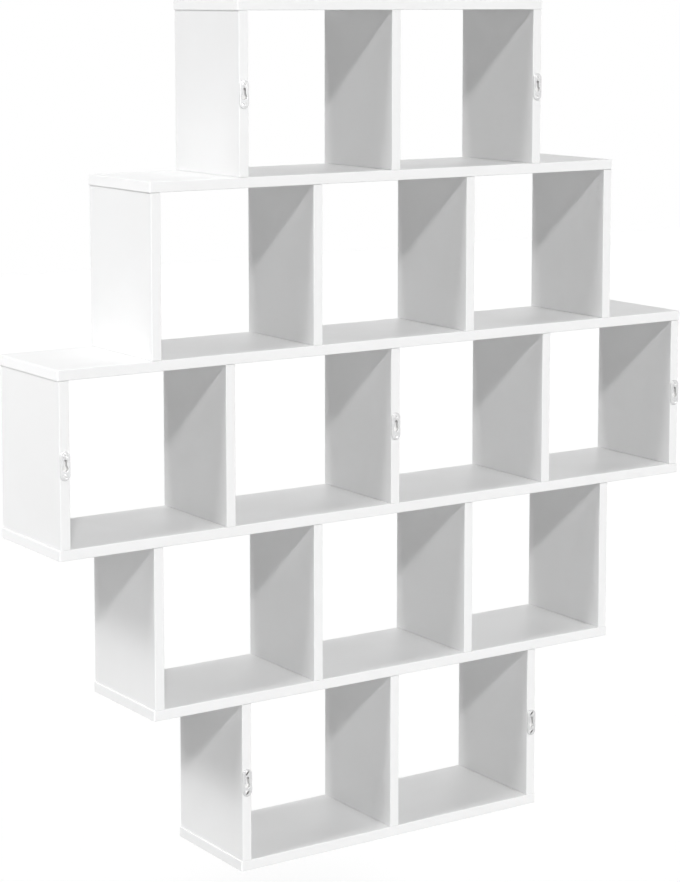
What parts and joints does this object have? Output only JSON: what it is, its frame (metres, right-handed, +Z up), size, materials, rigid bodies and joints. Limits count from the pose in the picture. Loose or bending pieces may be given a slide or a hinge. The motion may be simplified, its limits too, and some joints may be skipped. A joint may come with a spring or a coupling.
{
  "type": "wall shelf",
  "caption": "Stepped diamond-shaped wall shelf of white boards with open-backed cells, hung by keyhole plates on its wall side edges.",
  "frame": {"origin": "on the wall plane, at the middle of the hanger plate on the centre divider, which is the middle of the shelf's width and height", "axes": "+X to the right as seen from the room, +Y into the wall, +Z up"},
  "size_m": [1.096, 0.1779, 1.235],
  "materials": {
    "white_board": "satin white melamine on chipboard with matching edge strips",
    "hanger_steel": "nickel plated, satin",
    "screw_steel": "zinc plated, bright"
  },
  "bodies": {
    "root": {"bottom_row_divider": "white_board", "bottom_row_left_end": "white_board", "bottom_row_left_end_hanger": "hanger_steel", "bottom_row_left_end_hanger_lower_screw": "screw_steel", "bottom_row_left_end_hanger_upper_screw": "screw_steel", "bottom_row_right_end": "white_board", "bottom_row_right_end_hanger": "hanger_steel", "bottom_row_right_end_hanger_lower_screw": "screw_steel", "bottom_row_right_end_hanger_upper_screw": "screw_steel", "bottom_shelf": "white_board", "lower_step_row_left_divider": "white_board", "lower_step_row_left_end": "white_board", "lower_step_row_right_divider": "white_board", "lower_step_row_right_end": "white_board", "lower_step_shelf": "white_board", "lower_wide_shelf": "white_board", "top_row_divider": "white_board", "top_row_left_end": "white_board", "top_row_left_end_hanger": "hanger_steel", "top_row_left_end_hanger_lower_screw": "screw_steel", "top_row_left_end_hanger_upper_screw": "screw_steel", "top_row_right_end": "white_board", "top_row_right_end_hanger": "hanger_steel", "top_row_right_end_hanger_lower_screw": "screw_steel", "top_row_right_end_hanger_upper_screw": "screw_steel", "top_shelf": "white_board", "upper_step_row_left_divider": "white_board", "upper_step_row_left_end": "white_board", "upper_step_row_right_divider": "white_board", "upper_step_row_right_end": "white_board", "upper_step_shelf": "white_board", "upper_wide_shelf": "white_board", "wide_row_centre_divider": "white_board", "wide_row_centre_divider_hanger": "hanger_steel", "wide_row_centre_divider_hanger_lower_screw": "screw_steel", "wide_row_centre_divider_hanger_upper_screw": "screw_steel", "wide_row_left_divider": "white_board", "wide_row_left_end": "white_board", "wide_row_left_end_hanger": "hanger_steel", "wide_row_left_end_hanger_lower_screw": "screw_steel", "wide_row_left_end_hanger_upper_screw": "screw_steel", "wide_row_right_divider": "white_board", "wide_row_right_end": "white_board", "wide_row_right_end_hanger": "hanger_steel", "wide_row_right_end_hanger_lower_screw": "screw_steel", "wide_row_right_end_hanger_upper_screw": "screw_steel"}
  },
  "joints": []
}
